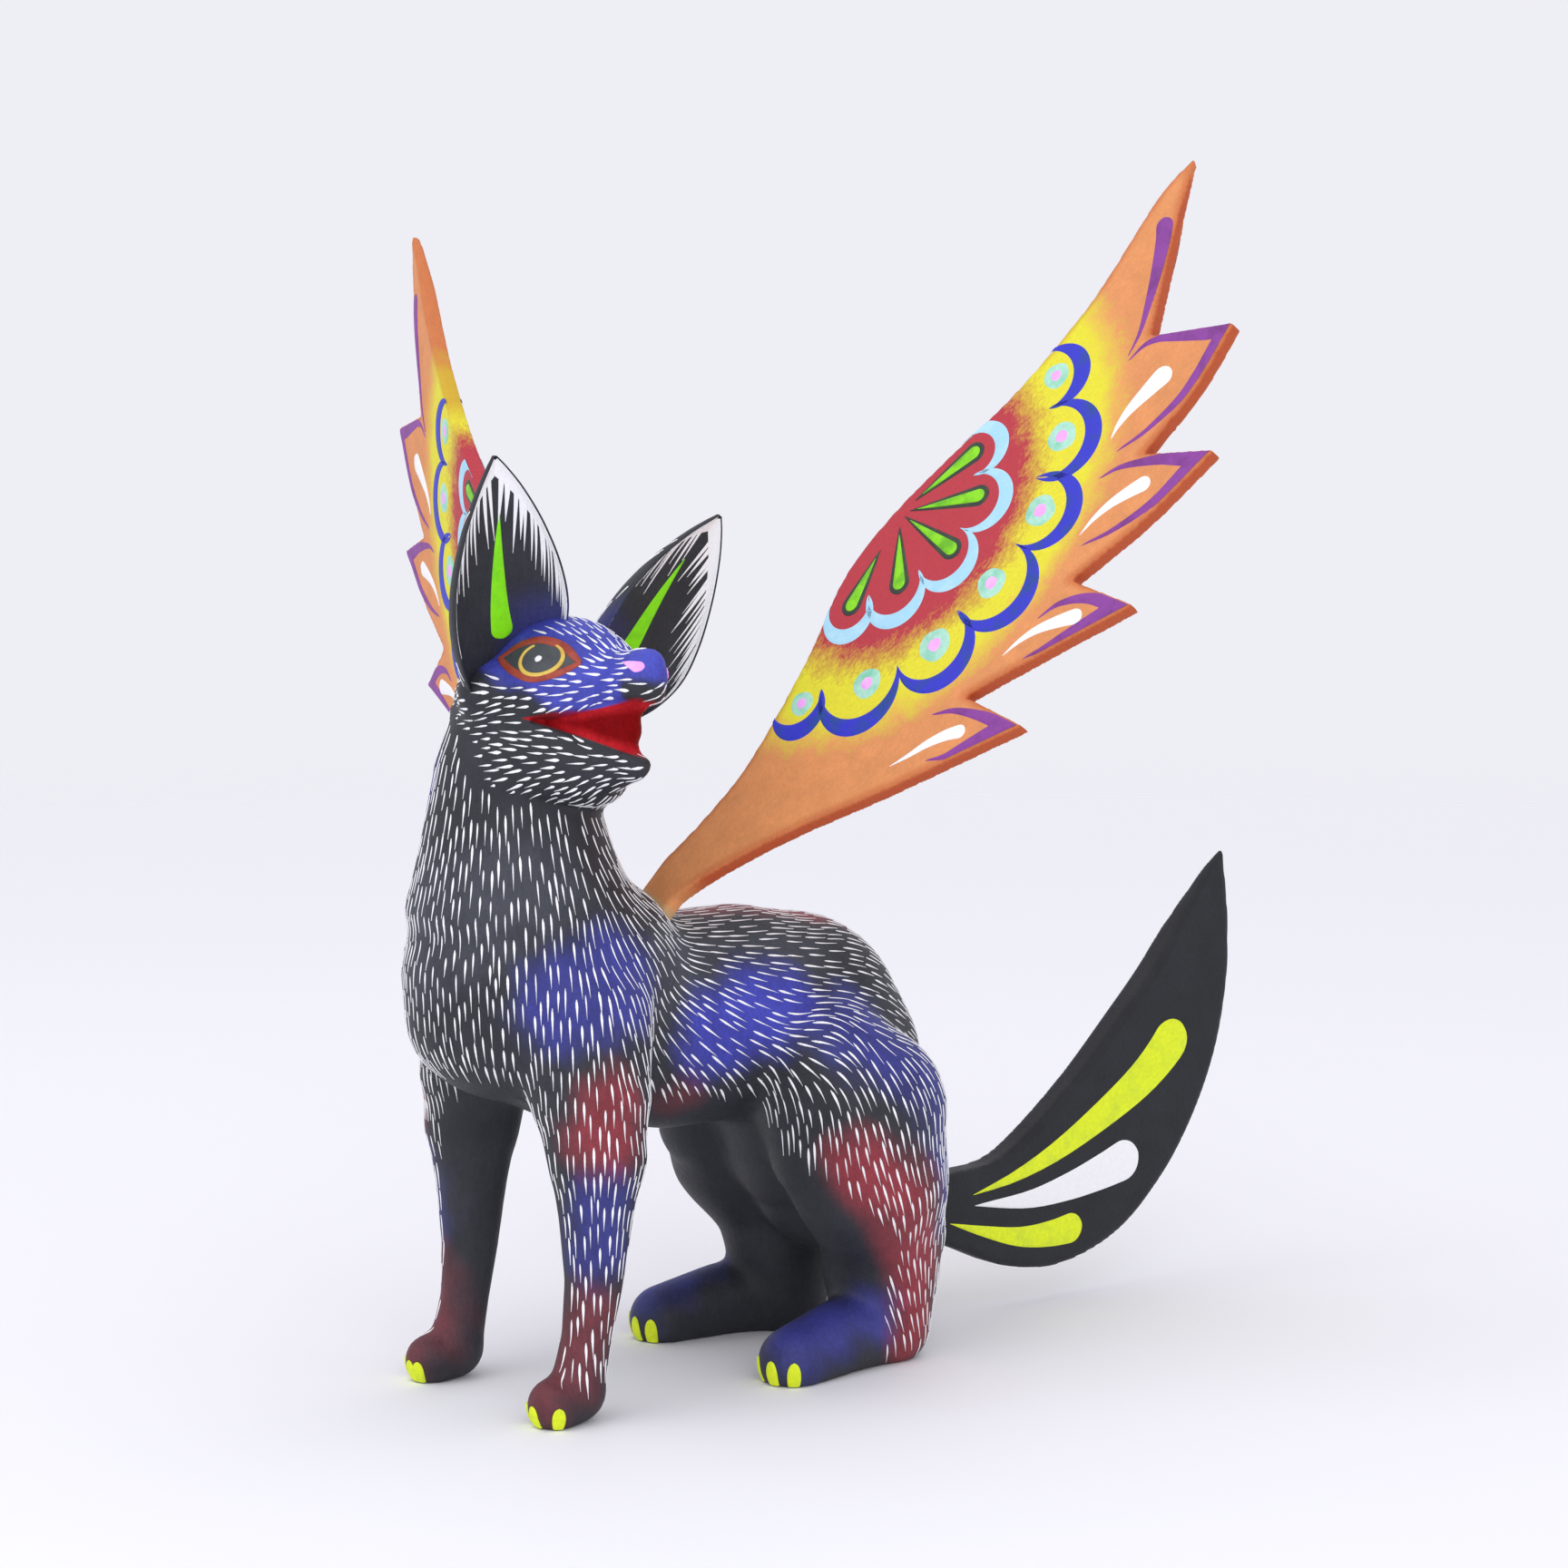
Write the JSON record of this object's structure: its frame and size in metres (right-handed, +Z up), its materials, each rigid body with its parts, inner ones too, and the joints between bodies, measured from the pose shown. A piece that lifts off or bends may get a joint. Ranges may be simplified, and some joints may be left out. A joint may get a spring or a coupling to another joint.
{
  "type": "carved wooden alebrije figure",
  "caption": "Carved, painted wooden fantasy animal standing on four paws, with a turned head, cupped ears, plate wings and a leaf tail that plug into the body.",
  "frame": {"origin": "on the floor, under the middle of the figure's outline", "axes": "+Z up, -Y the way the chest faces, +X the animal's left side"},
  "size_m": [0.2828, 0.2645, 0.303],
  "materials": {
    "painted_body": "matte acrylic paint on copal wood",
    "painted_ear": "matte acrylic paint on copal wood",
    "painted_wing": "matte acrylic paint on a sawn board",
    "painted_tail": "matte acrylic paint on copal wood"
  },
  "bodies": {
    "root": {"body": "painted_body", "ear_left": "painted_ear", "ear_right": "painted_ear"},
    "wing_left": {"wing_left": "painted_wing"},
    "wing_right": {"wing_right": "painted_wing"},
    "tail": {"tail": "painted_tail"}
  },
  "joints": [
    {"name": "wing_left_pull", "type": "slide", "parent": "root", "child": "wing_left", "axis": [0.2974, 0.5151, 0.8039], "range_m": [0, 0.025]},
    {"name": "wing_right_pull", "type": "slide", "parent": "root", "child": "wing_right", "axis": [-0.6325, 0.1886, 0.7513], "range_m": [0, 0.025]},
    {"name": "tail_pull", "type": "slide", "parent": "root", "child": "tail", "axis": [0, 1, 0], "range_m": [0, 0.03]}
  ]
}
